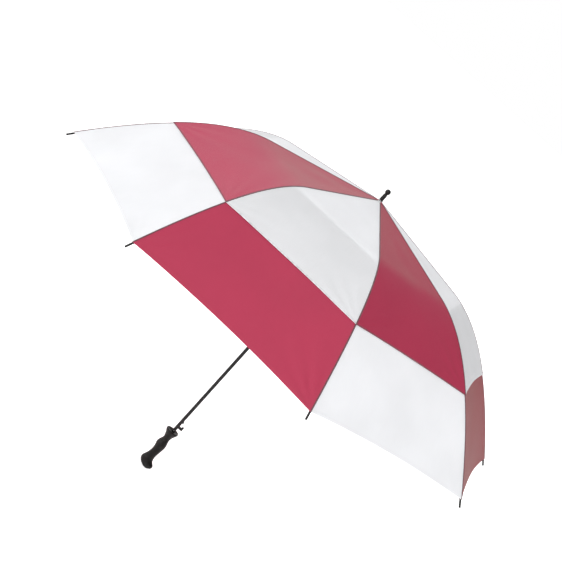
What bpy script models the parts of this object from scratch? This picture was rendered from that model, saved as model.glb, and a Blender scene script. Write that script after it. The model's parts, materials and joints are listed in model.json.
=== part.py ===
"""A golf umbrella: eight ribs, a double wind-vented canopy, a spring-opened runner and a moulded grip.

The umbrella stands upright and open. The origin is where the shaft's axis meets the plane of the
grip's flat end, +Z runs up the shaft to the ferrule, and the trigger is on the +X side. Metres
throughout.

Each rib line is straight from the crown to BEND_START, then bends as a sprung rod does, its slope
closing on EDGE_SLOPE. Every piece of one sector is built in the plane of azimuth 0 and turned into
place about Z, with its origin on its joint's axis.
"""

import math

import bmesh
import bpy
from mathutils import Matrix, Vector

# Whole umbrella
CROWN_HEIGHT = 0.872
RIB_COUNT = 8
SECTOR = math.tau / RIB_COUNT
FIRST_RIB = math.radians(15)
GAP = 0.0003

# Rib line, measured as arc length from the crown and slope below the horizontal
CROWN_SLOPE = math.radians(11)
EDGE_SLOPE = math.radians(52)
BEND_START = 0.292
BEND_LENGTH = 0.184
ARC_STEP = 0.001

# Canopy: both layers are offsets inwards from the rib line's surface
CLOTH = 0.0006
LOWER_DROP = 0.0015
SAG = 0.006
ROW = 0.0378
CROWN_ARC = 0.0056
LAP_ARC = 0.334
VENT_ARC = LAP_ARC + 5 * ROW
HEM_ARC = LAP_ARC + 11 * ROW
RIB_LENGTH = 0.762
VENT_SCALLOP = 0.006
HEM_SCALLOP = 0.0115
GORE_COLUMNS = 3

# Ribs and stretchers
RIB_DROP = 0.005
ROD_RADIUS = 0.0019
CHANNEL_WIDTH = 0.0034
CHANNEL_HEIGHT = 0.0032
CHANNEL_WALL = 0.0005
CHANNEL_START = 0.0172
CHANNEL_END = 0.3274
CHANNEL_BEND_ARCS = (0.15, BEND_START, 0.306, 0.318)
EYE_WIDTH = 0.0022
EYE_RADIUS = 0.0018
EYE_HOLE = 0.00085
EYE_SIDES = 10
TONGUE_HEIGHT = 0.0026
TONGUE_REACH = 0.012
CLIP_ARC = CHANNEL_BEND_ARCS[2]
CLIP_DROP = 0.005
CLIP_LENGTH = 0.0056
CLIP_CHEEK = 0.0008
CLIP_OFFSET = 0.0019
CLIP_LAP = 0.0010
CLIP_BELOW_RIVET = 0.0026
RIVET_RADIUS = 0.0006
RIVET_LENGTH = 0.0050
RIVET_SIDES = 7
FLEX_ARC = 0.330
SOCKET_RADIUS = 0.0024
SOCKET_LENGTH = 0.0095
SOCKET_SIDES = 8
ROD_END = RIB_LENGTH - 0.004
STRETCHER_WIDTH = 0.0024
STRETCHER_HEIGHT = 0.0032
STRETCHER_EYE = 0.0022
STRETCHER_HOLE = 0.0009
STRETCHER_LENGTH = 0.370
STRETCHER_INSET = STRETCHER_EYE + 0.001
TIP_RADIUS = 0.0024
TIP_LENGTH = 0.022
TIP_START = RIB_LENGTH + 0.006 - TIP_LENGTH
TIP_SOLID = 0.009
TIP_CROWN = 0.0005
TIP_CROWN_SHARE = 0.7
TIP_SHOULDER = 0.0020
TIP_SIDES = 10

# Shaft, notch and ferrule
SHAFT_RADIUS = 0.0044
SHAFT_BORE = 0.0034
SHAFT_START = 0.014
SHAFT_TOP = CROWN_HEIGHT - 0.001
SHAFT_SIDES = 24
SLOT_MARGIN = 0.001
THROUGH = 0.03
NOTCH_RING = 0.009
NOTCH_RADIUS = 0.013
NOTCH_TOP = CROWN_HEIGHT - 0.0042
NOTCH_HEIGHT = 0.0078
NOTCH_CORE = 0.0067
NOTCH_SLOT = EYE_WIDTH + 0.0008
NOTCH_BEVEL = 0.0008
NOTCH_CUT = 0.010
GROOVE_BEYOND = 0.002
WIRE_RADIUS = 0.0005
FERRULE_BALL = 0.0069
FERRULE_BALL_HEIGHT = 0.0265
FERRULE_POST = 0.0047
FERRULE_FLANGE = 0.0064
FERRULE_STEM = 0.0030
FERRULE_STEM_LENGTH = 0.018
FERRULE_BASE = CROWN_HEIGHT - 0.0007
FERRULE_NECK = 0.0036
FERRULE_TAPER_SHARE = 0.84
FERRULE_TAPER_TOP = 0.0080
FERRULE_TAPER_END = 0.0105
FERRULE_FLANGE_HEIGHT = 0.0010
FERRULE_FLANGE_CONE = 0.0022
FERRULE_BALL_RINGS = 8
FERRULE_SIDES = 18

# Runner and opening spring
RUNNER_RING = 0.012
FOLDED_TILT = math.radians(3.2)
RUNNER_BORE = 0.0049
RUNNER_SLEEVE = 0.0070
RUNNER_FLANGE = 0.0150
RUNNER_CORE = 0.0086
RUNNER_SLOT = STRETCHER_WIDTH + 0.0014
RUNNER_ABOVE = 0.0070
RUNNER_BELOW = 0.0584
RUNNER_LIP = 0.0027
RUNNER_EDGE = 0.001
RUNNER_UNDER = 0.0062
RUNNER_CONE_REACH = 0.002
RUNNER_CONE_DROP = 0.0035
RUNNER_CONE_END = 0.0080
RUNNER_FOOT_EDGE = 0.0006
RUNNER_CUT = 0.012
RUNNER_CUT_HEIGHT = 0.030
RUNNER_SIDES = 24
WINDOW_SPARE = 0.003
WINDOW_WIDTH_SPARE = 0.0012
WINDOW_DEPTH_SPARE = 0.002
PIN_SIDES = 12
DRIVE_PIN_DROP = 0.020
DRIVE_PIN_RADIUS = 0.0010
DRIVE_PIN_INSET = 0.0006
SPRING_COIL = 0.0024
SPRING_WIRE = 0.00045
SPRING_TURNS = 16
SPRING_STEPS = 8

# Grip
GRIP_TOP = 0.116
GRIP_RING_STEP = 0.006
GRIP_SIDES = 18
GRIP_FOOT_RINGS = (0, 0.0012, 0.003)
GRIP_GUARD_RINGS = (0.1035, 0.1060, 0.1080, 0.1100, 0.1130, 0.1150, GRIP_TOP)
# Height, reach towards -X, reach towards +X and half depth, from the flat end up
GRIP_STATIONS = (
    (0.000, 0.003, 0.0140, 0.0080),
    (0.005, 0.012, 0.0203, 0.0112),
    (0.012, 0.0178, 0.0200, 0.0128),
    (0.020, 0.0187, 0.0122, 0.0126),
    (0.032, 0.0140, 0.0092, 0.0108),
    (0.047, 0.0112, 0.0104, 0.0104),
    (0.060, 0.0122, 0.0120, 0.0118),
    (0.071, 0.0150, 0.0124, 0.0126),
    (0.081, 0.0128, 0.0098, 0.0108),
    (0.090, 0.0098, 0.0082, 0.0088),
    (0.100, 0.0124, 0.0100, 0.0112),
    (0.1075, 0.0160, 0.0134, 0.0147),
    (0.1130, 0.0187, 0.0154, 0.0170),
    (0.116, 0.0178, 0.0146, 0.0162),
)

# Trigger: one lever with the thumb hook below and the runner catch above its pivot
TRIGGER_PIVOT = 0.1185
TRIGGER_WIDTH = 0.0024
TRIGGER_PIN_RADIUS = 0.0008
TRIGGER_HOOK_REACH = 0.0150
TRIGGER_HOOK_BASE = 0.1285
TRIGGER_HOOK_TOP = 0.1395
TRIGGER_HOOK_THICK = 0.0068
CATCH_BASE = 0.1450
CATCH_TOP = 0.1550
CATCH_REACH = 0.0069
TRIGGER_BACK = 0.0005
TRIGGER_FRONT = 0.0026
TRIGGER_EYE = 0.0021
TRIGGER_SLOT_END = 0.1575
TRIGGER_SLOT_BELOW = 0.003
TRIGGER_SLOT_SPARE = 0.0006
TRIGGER_SLOT_DEPTH = 0.010
TRIGGER_LIP = 0.0050
TRIGGER_CHAMFER = 0.0010
TRIGGER_TOP_CHAMFER = 0.0008
TRIGGER_INNER_CHAMFER = 0.0012
TRIGGER_PIN_INSET = 0.0001
LEAF_BASE = 0.1360
LEAF_TOP = 0.1545
LEAF_THICK = 0.0003
LEAF_FOOT = -0.0029
LEAF_WIDTH = 0.0018
LEAF_STEPS = 8

# Tie strap, sewn inside one lower gore above its hem
STRAP_GORE = 2
STRAP_WIDTH = 0.020
STRAP_LENGTH = 0.130
STRAP_ABOVE_HEM = 0.018
STRAP_CLOTH = 0.0008
STRAP_DROP = LOWER_DROP + CLOTH + 0.0005

COLOURS = {
    "canopy_red": ((0.56, 0.075, 0.11), 0.62, 0.0),
    "canopy_white": ((0.86, 0.86, 0.87), 0.62, 0.0),
    "strap_black": ((0.03, 0.03, 0.03), 0.75, 0.0),
    "shaft_black": ((0.035, 0.034, 0.033), 0.38, 0.0),
    "moulded_black": ((0.025, 0.024, 0.023), 0.45, 0.0),
    "grip_black": ((0.022, 0.021, 0.020), 0.60, 0.0),
    "rib_steel": ((0.05, 0.05, 0.052), 0.35, 0.8),
    "rod_black": ((0.03, 0.03, 0.03), 0.42, 0.0),
    "spring_steel": ((0.55, 0.55, 0.56), 0.30, 1.0),
}


def clear_scene():
    for obj in list(bpy.data.objects):
        bpy.data.objects.remove(obj)


def new_collection(name, helper=False):
    collection = bpy.data.collections.new(name)
    collection.hide_render = helper
    bpy.context.scene.collection.children.link(collection)
    return collection


def new_material(name):
    colour, roughness, metallic = COLOURS[name]
    material = bpy.data.materials.new(name)
    material.use_nodes = True
    shader = material.node_tree.nodes["Principled BSDF"]
    shader.inputs["Base Color"].default_value = (*colour, 1)
    shader.inputs["Roughness"].default_value = roughness
    shader.inputs["Metallic"].default_value = metallic
    return material


clear_scene()
PARTS = new_collection("golf_umbrella")
CUTTERS = new_collection("cutters", helper=True)
MATERIALS = {name: new_material(name) for name in COLOURS}


# ---- Geometry of the rib line -------------------------------------------------------------------


def slope(arc):
    """The rib line's slope below the horizontal at this arc length from the crown."""
    past = max(arc - BEND_START, 0)
    return EDGE_SLOPE - (EDGE_SLOPE - CROWN_SLOPE) * math.exp(-past / BEND_LENGTH)


def rib_line(arc, drop=0):
    """A point of the rib line in the plane of azimuth 0, moved inwards by drop."""
    radius, depth = 0.0, 0.0
    steps = max(1, round(arc / ARC_STEP))
    for i in range(steps):
        angle = slope((i + 0.5) * arc / steps)
        radius += math.cos(angle) * arc / steps
        depth += math.sin(angle) * arc / steps
    angle = slope(arc)
    radius -= math.sin(angle) * drop
    depth += math.cos(angle) * drop
    return Vector((radius, 0, CROWN_HEIGHT - depth))


def rib_direction(arc):
    """The unit vector along the rib line, away from the crown."""
    return Vector((math.cos(slope(arc)), 0, -math.sin(slope(arc))))


def rib_pivot():
    """Where a rib turns on the notch wire: the rib's own line at the ring's radius."""
    depth = NOTCH_RING * math.tan(CROWN_SLOPE) + RIB_DROP / math.cos(CROWN_SLOPE)
    return Vector((NOTCH_RING, 0, CROWN_HEIGHT - depth))


RIB_PIVOT = rib_pivot()
CLIP_PIVOT = rib_line(CLIP_ARC, RIB_DROP + CLIP_DROP)
FLEX_PIVOT = rib_line(FLEX_ARC, RIB_DROP)
RUNNER_LEVEL = CLIP_PIVOT.z - math.sqrt(
    STRETCHER_LENGTH**2 - (CLIP_PIVOT.x - RUNNER_RING) ** 2
)
RUNNER_PIVOT = Vector((RUNNER_RING, 0, RUNNER_LEVEL))
LAP_ROWS = [LAP_ARC + ROW * i for i in range(12)]


# ---- Modelling helpers --------------------------------------------------------------------------


def mesh_object(name, bm, collection=PARTS):
    mesh = bpy.data.meshes.new(name)
    bm.to_mesh(mesh)
    bm.free()
    obj = bpy.data.objects.new(name, mesh)
    collection.objects.link(obj)
    return obj


def shade(obj, angle=math.radians(35)):
    obj.data.shade_smooth()
    obj.data.set_sharp_from_angle(angle=angle)


def paint(obj, material):
    obj.data.materials.clear()
    obj.data.materials.append(MATERIALS[material])
    return obj


def evaluated_mesh(obj):
    bpy.context.view_layer.update()
    graph = bpy.context.evaluated_depsgraph_get()
    return bpy.data.meshes.new_from_object(obj.evaluated_get(graph))


def applied(obj):
    """The object with its modifiers, or its curve, made into a plain welded mesh."""
    mesh = evaluated_mesh(obj)
    bm = bmesh.new()
    bm.from_mesh(mesh)
    bmesh.ops.remove_doubles(bm, verts=bm.verts, dist=1e-6)
    bmesh.ops.recalc_face_normals(bm, faces=bm.faces)
    bm.to_mesh(mesh)
    bm.free()
    made = bpy.data.objects.new(obj.name, mesh)
    made.matrix_world = obj.matrix_world
    for collection in obj.users_collection:
        collection.objects.link(made)
    name = obj.name
    bpy.data.objects.remove(obj)
    made.name = name
    return made


def combine(obj, other, operation):
    """obj with other joined on or cut away, as a plain mesh. other is used up."""
    modifier = obj.modifiers.new(operation.lower(), "BOOLEAN")
    modifier.operation = operation
    modifier.object = other
    modifier.solver = "EXACT"
    made = applied(obj)
    bpy.data.objects.remove(other)
    return made


def cylinder(radius, length, centre, axis, sides=16, name="cylinder", collection=CUTTERS):
    bm = bmesh.new()
    bmesh.ops.create_cone(
        bm, cap_ends=True, segments=sides, radius1=radius, radius2=radius, depth=length
    )
    turn = Vector((0, 0, 1)).rotation_difference(Vector(axis)).to_matrix().to_4x4()
    bm.transform(Matrix.Translation(centre) @ turn)
    return mesh_object(name, bm, collection)


def block(size, centre, turn=None, name="block", collection=CUTTERS):
    bm = bmesh.new()
    bmesh.ops.create_cube(bm, size=1)
    bm.transform(Matrix.Diagonal((*size, 1)))
    if turn is not None:
        bm.transform(turn.to_4x4())
    bm.transform(Matrix.Translation(centre))
    return mesh_object(name, bm, collection)


def turned(name, profile, steps, collection=PARTS):
    """A profile of (radius, height) points turned about Z. It runs down its outer side."""
    bm = bmesh.new()
    points = [bm.verts.new((radius, 0, height)) for radius, height in profile]
    for one, other in zip(points, points[1:]):
        bm.edges.new((one, other))
    if profile[0][0] > 0 or profile[-1][0] > 0:
        bm.edges.new((points[-1], points[0]))
    obj = mesh_object(name, bm, collection)
    screw = obj.modifiers.new("turn", "SCREW")
    screw.steps = steps
    screw.render_steps = steps
    screw.use_merge_vertices = True
    screw.merge_threshold = 1e-5
    return applied(obj)


def swept(name, section, stations, collection=PARTS):
    """A closed section extruded along stations of (point, direction) in the XZ plane.
    The section's first coordinate lies along Y, its second outwards from the rib."""
    bm = bmesh.new()
    face = None
    for point, direction in stations:
        up = Vector((-direction.z, 0, direction.x))
        ring = [point + Vector((0, y, 0)) + up * z for y, z in section]
        if face is None:
            face = bm.faces.new([bm.verts.new(p) for p in ring])
            continue
        inside = [face] if len(bm.faces) > 1 else []
        made = bmesh.ops.extrude_face_region(bm, geom=[face])
        face = next(g for g in made["geom"] if isinstance(g, bmesh.types.BMFace))
        for vertex, place in zip(face.verts, ring):
            vertex.co = place
        bmesh.ops.delete(bm, geom=inside, context="FACES_ONLY")
    bmesh.ops.recalc_face_normals(bm, faces=bm.faces)
    return mesh_object(name, bm, collection)


def rod(name, points, radius, resolution, collection=PARTS):
    """A round rod along the points, as a plain mesh."""
    curve = bpy.data.curves.new(name, "CURVE")
    curve.dimensions = "3D"
    curve.bevel_depth = radius
    curve.bevel_resolution = resolution
    curve.use_fill_caps = True
    spline = curve.splines.new("POLY")
    spline.points.add(len(points) - 1)
    for point, place in zip(spline.points, points):
        point.co = (*place, 1)
    obj = bpy.data.objects.new(name, curve)
    collection.objects.link(obj)
    return applied(obj)


def plane_frame(point, direction):
    """The frame at a point of the XZ plane: X along direction, Y to its upper side, Z along -Y."""
    side = Vector((-direction.z, 0, direction.x))
    frame = Matrix((direction, side, (0, -1, 0))).transposed().to_4x4()
    return Matrix.Translation(point) @ frame


def circle(radius, sides):
    turns = [math.tau * i / sides for i in range(sides)]
    return [(radius * math.cos(a), radius * math.sin(a)) for a in turns]


def flat_piece(name, outlines, width, frame, collection=CUTTERS):
    """Closed outlines in the frame's XY plane, inner ones as holes, made this wide about it."""
    curve = bpy.data.curves.new(name, "CURVE")
    curve.dimensions = "2D"
    curve.fill_mode = "BOTH"
    curve.extrude = width / 2
    for outline in outlines:
        spline = curve.splines.new("POLY")
        spline.points.add(len(outline) - 1)
        spline.use_cyclic_u = True
        for point, (x, y) in zip(spline.points, outline):
            point.co = (x, y, 0, 1)
    obj = bpy.data.objects.new(name, curve)
    collection.objects.link(obj)
    made = applied(obj)
    made.data.transform(frame)
    return made


def turned_copy(name, mesh, pivot, azimuth, material):
    """One copy of a sector's piece, with its origin on its joint's axis."""
    obj = bpy.data.objects.new(name, mesh.copy())
    PARTS.objects.link(obj)
    turn = Matrix.Rotation(azimuth, 4, "Z")
    obj.data.transform(Matrix.Translation(-pivot))
    obj.location = turn @ pivot
    obj.rotation_euler.z = azimuth
    shade(obj)
    return paint(obj, material)


def rib_azimuth(number):
    return FIRST_RIB + SECTOR * (number - 1)


# ---- Canopy -------------------------------------------------------------------------------------


def cloth_point(arc, share, drop):
    """A point of the gore between the ribs at azimuth 0 and SECTOR, share 0 to 1 across."""
    start = rib_line(arc, drop)
    end = Matrix.Rotation(SECTOR, 3, "Z") @ start
    middle = SECTOR / 2
    inwards = Vector(
        (
            -math.sin(slope(arc)) * math.cos(middle),
            -math.sin(slope(arc)) * math.sin(middle),
            -math.cos(slope(arc)),
        )
    )
    sag = SAG * (arc / RIB_LENGTH) * 4 * share * (1 - share)
    return start.lerp(end, share) + inwards * sag


def cloth_panel(name, rows, drop, thickness, scallops, span=None):
    """A panel over these arcs, its first and last row drawn in by scallops at mid-gore.
    It reaches from rib to rib, less the gap, or over a span of shares."""
    bm = bmesh.new()
    last = len(rows) - 1
    bmesh.ops.create_grid(bm, x_segments=GORE_COLUMNS, y_segments=last, size=0.5)
    for vertex in bm.verts:
        across = 0.5 - vertex.co.x
        row = rows[round((vertex.co.y + 0.5) * last)]
        chord = 2 * rib_line(row, drop).x * math.sin(SECTOR / 2)
        low, high = span or (GAP / chord, 1 - GAP / chord)
        share = low + (high - low) * across
        bow = 4 * share * (1 - share)
        along = (row - rows[0]) / (rows[-1] - rows[0])
        row -= bow * (scallops[0] * (1 - along) + scallops[1] * along)
        vertex.co = cloth_point(row, share, drop)
    obj = mesh_object(name, bm, CUTTERS)
    solidify = obj.modifiers.new("cloth", "SOLIDIFY")
    solidify.thickness = thickness
    solidify.offset = -1
    solidify.use_even_offset = True
    return applied(obj)


def upper_panel():
    inner = [CROWN_ARC, 0.045, 0.125, 0.21, BEND_START]
    rows = inner + [row for row in LAP_ROWS if row < VENT_ARC + ROW / 2]
    return cloth_panel("upper_gore", rows, 0, CLOTH, (0, VENT_SCALLOP))


def lower_panel():
    return cloth_panel("lower_gore", LAP_ROWS, LOWER_DROP, CLOTH, (0, HEM_SCALLOP))


def strap_panel():
    end = HEM_ARC - HEM_SCALLOP - STRAP_ABOVE_HEM
    rows = [end - STRAP_LENGTH * (1 - i / 4) for i in range(5)]
    half = STRAP_WIDTH / 2 / (2 * rib_line(end).x * math.sin(SECTOR / 2))
    return cloth_panel("strap_panel", rows, STRAP_DROP, STRAP_CLOTH, (0, 0), (0.5 - half, 0.5 + half))


# ---- Ribs and stretchers ------------------------------------------------------------------------


def channel_section(width, height, wall):
    """A U channel, open downwards, as (across, up) points."""
    half, top, bottom, inner = width / 2, height / 2, -height / 2, width / 2 - wall
    return [
        (-half, bottom),
        (-half, top),
        (half, top),
        (half, bottom),
        (inner, bottom),
        (inner, top - wall),
        (-inner, top - wall),
        (-inner, bottom),
    ]


def eye(pivot, direction, radius, width, hole):
    """A flattened eye on its pivot, with the tongue that joins it to its channel."""
    start = math.asin(TONGUE_HEIGHT / 2 / radius)
    count = EYE_SIDES - 1
    turns = [start + (math.tau - 2 * start) * i / count for i in range(EYE_SIDES)]
    outline = [(radius * math.cos(a), radius * math.sin(a)) for a in turns]
    outline += [(TONGUE_REACH, -TONGUE_HEIGHT / 2), (TONGUE_REACH, TONGUE_HEIGHT / 2)]
    frame = plane_frame(pivot, direction)
    return flat_piece("eye", [outline, circle(hole, EYE_SIDES)], width, frame)


def rib_inner_mesh():
    """The steel channel from the notch to the socket, with the clip that holds the stretcher."""
    arcs = [CHANNEL_START, *CHANNEL_BEND_ARCS, CHANNEL_END]
    stations = [(rib_line(arc, RIB_DROP), rib_direction(arc)) for arc in arcs]
    section = channel_section(CHANNEL_WIDTH, CHANNEL_HEIGHT, CHANNEL_WALL)
    rib = swept("rib_inner", section, stations, CUTTERS)
    direction = rib_direction(0)
    rib = combine(rib, eye(RIB_PIVOT, direction, EYE_RADIUS, EYE_WIDTH, EYE_HOLE), "UNION")
    along = rib_direction(CLIP_ARC)
    turn = Vector((1, 0, 0)).rotation_difference(along).to_matrix()
    up = Vector((-along.z, 0, along.x))
    reach = CLIP_DROP + CLIP_BELOW_RIVET
    for side in (-1, 1):
        centre = rib_line(CLIP_ARC, RIB_DROP) - up * (reach / 2 - CLIP_LAP)
        centre.y = side * CLIP_OFFSET
        cheek = block((CLIP_LENGTH, CLIP_CHEEK, reach + CLIP_LAP), centre, turn)
        rib = combine(rib, cheek, "UNION")
    rivet = cylinder(RIVET_RADIUS, RIVET_LENGTH, CLIP_PIVOT, (0, 1, 0), RIVET_SIDES)
    rib = combine(rib, rivet, "UNION")
    middle = CHANNEL_END - SOCKET_LENGTH / 2
    place, along = rib_line(middle, RIB_DROP), rib_direction(middle)
    socket = cylinder(SOCKET_RADIUS, SOCKET_LENGTH, place, along, SOCKET_SIDES)
    return combine(rib, socket, "UNION").data


def rib_outer_mesh():
    """The glass-fibre rod, from the flex point to inside the tip."""
    arcs = [FLEX_ARC] + LAP_ROWS + [ROD_END]
    points = [rib_line(arc, RIB_DROP) for arc in arcs]
    return rod("rib_outer", points, ROD_RADIUS, 1, CUTTERS).data


def rib_tip_mesh():
    """The cap over the rod's end, turned on Z and laid along the rib."""
    inside, end = ROD_RADIUS + GAP, TIP_LENGTH
    depth = TIP_LENGTH - TIP_SOLID
    profile = [
        (0, end),
        (TIP_RADIUS * TIP_CROWN_SHARE, end - TIP_CROWN),
        (TIP_RADIUS, end - TIP_SHOULDER),
        (TIP_RADIUS, 0),
        (inside, 0),
        (inside, depth),
        (0, depth),
    ]
    tip = turned("rib_tip", profile, TIP_SIDES, CUTTERS)
    start = rib_line(TIP_START, RIB_DROP)
    stop = rib_line(TIP_START + TIP_LENGTH, RIB_DROP)
    turn = Vector((0, 0, 1)).rotation_difference((stop - start).normalized())
    tip.data.transform(Matrix.Translation(start) @ turn.to_matrix().to_4x4())
    return tip.data


def stretcher_mesh():
    """The channel from the rib's clip to the runner, with an eye at each end."""
    start, end = CLIP_PIVOT, RUNNER_PIVOT
    along = (end - start).normalized()
    inset = along * STRETCHER_INSET
    section = channel_section(STRETCHER_WIDTH, STRETCHER_HEIGHT, CHANNEL_WALL)
    bar = swept("stretcher", section, [(start + inset, along), (end - inset, along)], CUTTERS)
    for pivot, direction in ((start, along), (end, -along)):
        plate = eye(pivot, direction, STRETCHER_EYE, EYE_WIDTH, STRETCHER_HOLE)
        bar = combine(bar, plate, "UNION")
    return bar.data


def place_sectors():
    """Eight of each sector piece. Sector 1 starts at the first rib and runs anticlockwise."""
    inner, outer = rib_inner_mesh(), rib_outer_mesh()
    tip, stretcher = rib_tip_mesh(), stretcher_mesh()
    upper, lower = upper_panel().data, lower_panel().data
    for number in range(1, RIB_COUNT + 1):
        azimuth = rib_azimuth(number)
        over, under = ("canopy_red", "canopy_white")
        if number % 2 == 0:
            over, under = under, over
        turned_copy(f"rib_inner_{number}", inner, RIB_PIVOT, azimuth, "rib_steel")
        turned_copy(f"upper_gore_{number}", upper, RIB_PIVOT, azimuth, over)
        turned_copy(f"rib_outer_{number}", outer, FLEX_PIVOT, azimuth, "rod_black")
        turned_copy(f"rib_tip_{number}", tip, FLEX_PIVOT, azimuth, "moulded_black")
        turned_copy(f"lower_gore_{number}", lower, FLEX_PIVOT, azimuth, under)
        turned_copy(f"stretcher_{number}", stretcher, CLIP_PIVOT, azimuth, "rib_steel")
    strap = strap_panel().data
    turned_copy("tie_strap", strap, FLEX_PIVOT, rib_azimuth(STRAP_GORE), "strap_black")


# ---- Shaft, notch and ferrule -------------------------------------------------------------------


def shaft_tube():
    """The black tube, slotted for the drive pin on -X and for the trigger on +X."""
    profile = [
        (SHAFT_RADIUS, SHAFT_TOP),
        (SHAFT_RADIUS, SHAFT_START),
        (SHAFT_BORE, SHAFT_START),
        (SHAFT_BORE, SHAFT_TOP),
    ]
    tube = turned("shaft_tube", profile, SHAFT_SIDES)
    pin = RUNNER_LEVEL - DRIVE_PIN_DROP
    low = pin - runner_travel()
    margin = DRIVE_PIN_RADIUS + SLOT_MARGIN
    size = (THROUGH / 2, 2 * DRIVE_PIN_RADIUS + 2 * GAP, pin - low + 2 * margin)
    tube = combine(tube, block(size, (-THROUGH / 4, 0, (pin + low) / 2)), "DIFFERENCE")
    low, high = TRIGGER_PIVOT - TRIGGER_SLOT_BELOW, TRIGGER_SLOT_END
    size = (TRIGGER_SLOT_DEPTH, TRIGGER_WIDTH + TRIGGER_SLOT_SPARE, high - low)
    centre = (TRIGGER_SLOT_DEPTH / 2, 0, (low + high) / 2)
    tube = combine(tube, block(size, centre), "DIFFERENCE")
    centre = (0, 0, TRIGGER_PIVOT)
    hole = cylinder(TRIGGER_PIN_RADIUS + GAP, THROUGH, centre, (0, 1, 0), PIN_SIDES)
    tube = combine(tube, hole, "DIFFERENCE")
    shade(tube)
    return paint(tube, "shaft_black")


def top_notch():
    """The disc that the ribs hang on: eight slots and a groove for the wire."""
    bottom = NOTCH_TOP - NOTCH_HEIGHT
    profile = [
        (NOTCH_RADIUS - NOTCH_BEVEL, NOTCH_TOP),
        (NOTCH_RADIUS, NOTCH_TOP - NOTCH_BEVEL),
        (NOTCH_RADIUS, bottom + NOTCH_BEVEL),
        (NOTCH_RADIUS - NOTCH_BEVEL, bottom),
        (SHAFT_RADIUS + GAP, bottom),
        (SHAFT_RADIUS + GAP, NOTCH_TOP),
    ]
    notch = turned("top_notch", profile, SHAFT_SIDES)
    for number in range(1, RIB_COUNT + 1):
        turn = Matrix.Rotation(rib_azimuth(number), 3, "Z")
        centre = Vector((NOTCH_CORE + NOTCH_CUT / 2, 0, NOTCH_TOP - NOTCH_HEIGHT / 2))
        slot = block((NOTCH_CUT, NOTCH_SLOT, 2 * NOTCH_HEIGHT), turn @ centre, turn)
        notch = combine(notch, slot, "DIFFERENCE")
    half = WIRE_RADIUS + GAP
    low, high = RIB_PIVOT.z - half, RIB_PIVOT.z + half
    inner, outer = NOTCH_RING - half, NOTCH_RADIUS + GROOVE_BEYOND
    profile = [(outer, high), (outer, low), (inner, low), (inner, high)]
    groove = turned("groove", profile, SHAFT_SIDES, CUTTERS)
    notch = combine(notch, groove, "DIFFERENCE")
    shade(notch)
    return paint(notch, "moulded_black")


def notch_wire():
    """The ring of wire through the ribs' eyes."""
    bpy.ops.mesh.primitive_torus_add(
        major_radius=NOTCH_RING,
        minor_radius=WIRE_RADIUS,
        major_segments=24,
        minor_segments=6,
        location=(0, 0, RIB_PIVOT.z),
    )
    wire = bpy.context.object
    wire.name = "notch_wire"
    for collection in wire.users_collection:
        collection.objects.unlink(wire)
    PARTS.objects.link(wire)
    shade(wire)
    return paint(wire, "spring_steel")


def ferrule():
    """The top post: a stem in the tube, a flange on the canopy, a post and a ball."""
    base = FERRULE_BASE
    ball = CROWN_HEIGHT + FERRULE_BALL_HEIGHT
    meet = -math.acos(FERRULE_NECK / FERRULE_BALL)
    profile = []
    for i in range(FERRULE_BALL_RINGS):
        angle = math.pi / 2 + (meet - math.pi / 2) * i / (FERRULE_BALL_RINGS - 1)
        radius = FERRULE_BALL * math.cos(angle)
        profile.append((radius if i else 0, ball + FERRULE_BALL * math.sin(angle)))
    profile += [
        (FERRULE_POST * FERRULE_TAPER_SHARE, ball - FERRULE_TAPER_TOP),
        (FERRULE_POST, ball - FERRULE_TAPER_END),
        (FERRULE_POST, base + FERRULE_FLANGE_CONE),
        (FERRULE_FLANGE, base + FERRULE_FLANGE_HEIGHT),
        (FERRULE_FLANGE, base),
        (FERRULE_STEM, base),
        (FERRULE_STEM, base - FERRULE_STEM_LENGTH),
        (0, base - FERRULE_STEM_LENGTH),
    ]
    post = turned("ferrule", profile, FERRULE_SIDES)
    shade(post)
    return paint(post, "moulded_black")


# ---- Runner and spring --------------------------------------------------------------------------


def runner_travel():
    """How far down the runner slides as the ribs fold until they lie FOLDED_TILT off the shaft."""
    folded = math.pi / 2 - FOLDED_TILT - CROWN_SLOPE
    arm = CLIP_PIVOT - RIB_PIVOT
    closed = RIB_PIVOT + Matrix.Rotation(folded, 3, "Y") @ arm
    drop = math.sqrt(STRETCHER_LENGTH**2 - (closed.x - RUNNER_RING) ** 2)
    return RUNNER_LEVEL - (closed.z - drop)


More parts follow.
